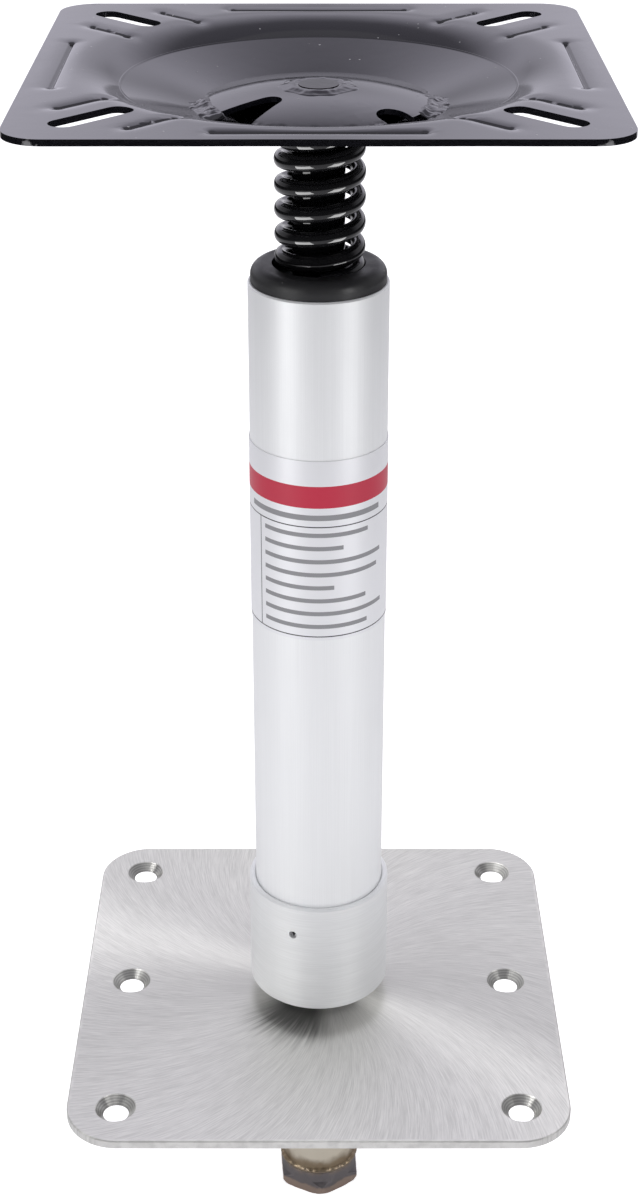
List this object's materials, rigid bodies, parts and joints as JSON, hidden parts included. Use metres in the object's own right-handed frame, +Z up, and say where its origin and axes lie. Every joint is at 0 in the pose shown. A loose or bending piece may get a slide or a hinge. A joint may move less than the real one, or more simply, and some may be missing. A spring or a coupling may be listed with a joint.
{
  "type": "boat seat pedestal",
  "caption": "Fixed-height boat seat post on a square deck plate, with a sprung, swivelling pressed seat plate whose diagonal slots take a seat's bolts.",
  "frame": {"origin": "centre of the base plate's underside, on the deck", "axes": "+Z up the post, -Y towards the pictured front, +X to the right in the picture"},
  "size_m": [0.1778, 0.1778, 0.4448],
  "materials": {
    "base_steel": "stainless sheet brushed out from the socket, bright broken edges",
    "socket_steel": "plain steel with heat tint from welding",
    "stub_steel": "turned, bright",
    "liner_plastic": "moulded, satin",
    "post_aluminium": "satin anodised",
    "collar_aluminium": "turned, satin, bright chamfers",
    "label_film": "silver film, smooth",
    "cap_plastic": "moulded, satin, a little dusty",
    "spring_paint": "thick gloss black",
    "seat_paint": "gloss black over pressed steel, runs and specks by the welds",
    "pin_steel": "turned, oiled"
  },
  "bodies": {
    "pedestal": {"base_plate": "base_steel", "socket_tube": "socket_steel", "socket_weld": "socket_steel", "base_nut": "socket_steel", "nut_weld": "socket_steel", "socket_liner": "liner_plastic", "post_stub": "stub_steel", "foot_plug": "collar_aluminium", "foot_collar": "collar_aluminium", "cross_pin": "stub_steel", "post_tube": "post_aluminium", "rating_label": "label_film", "top_bushing": "cap_plastic", "seat_spring": "spring_paint"},
    "spring_rider": {"thrust_washer": "spring_paint"},
    "seat": {"seat_plate": "seat_paint", "hub_disc": "seat_paint", "hub_weld_left": "seat_paint", "hub_weld_right": "seat_paint", "pin_weld": "seat_paint", "floor_weld": "seat_paint", "seat_pin": "seat_paint", "pin_washer": "pin_steel", "pin_ring": "pin_steel"}
  },
  "joints": [
    {"name": "seat_travel", "type": "slide", "parent": "pedestal", "child": "spring_rider", "axis": [0, 0, 1], "range_m": [-0.008, 0], "stiffness_N_per_m": 120000, "deforming": ["seat_spring"]},
    {"name": "seat_swivel", "type": "hinge", "parent": "spring_rider", "child": "seat", "pos_m": [0, 0, 0.33778], "axis": [0, 0, 1], "continuous": true}
  ]
}
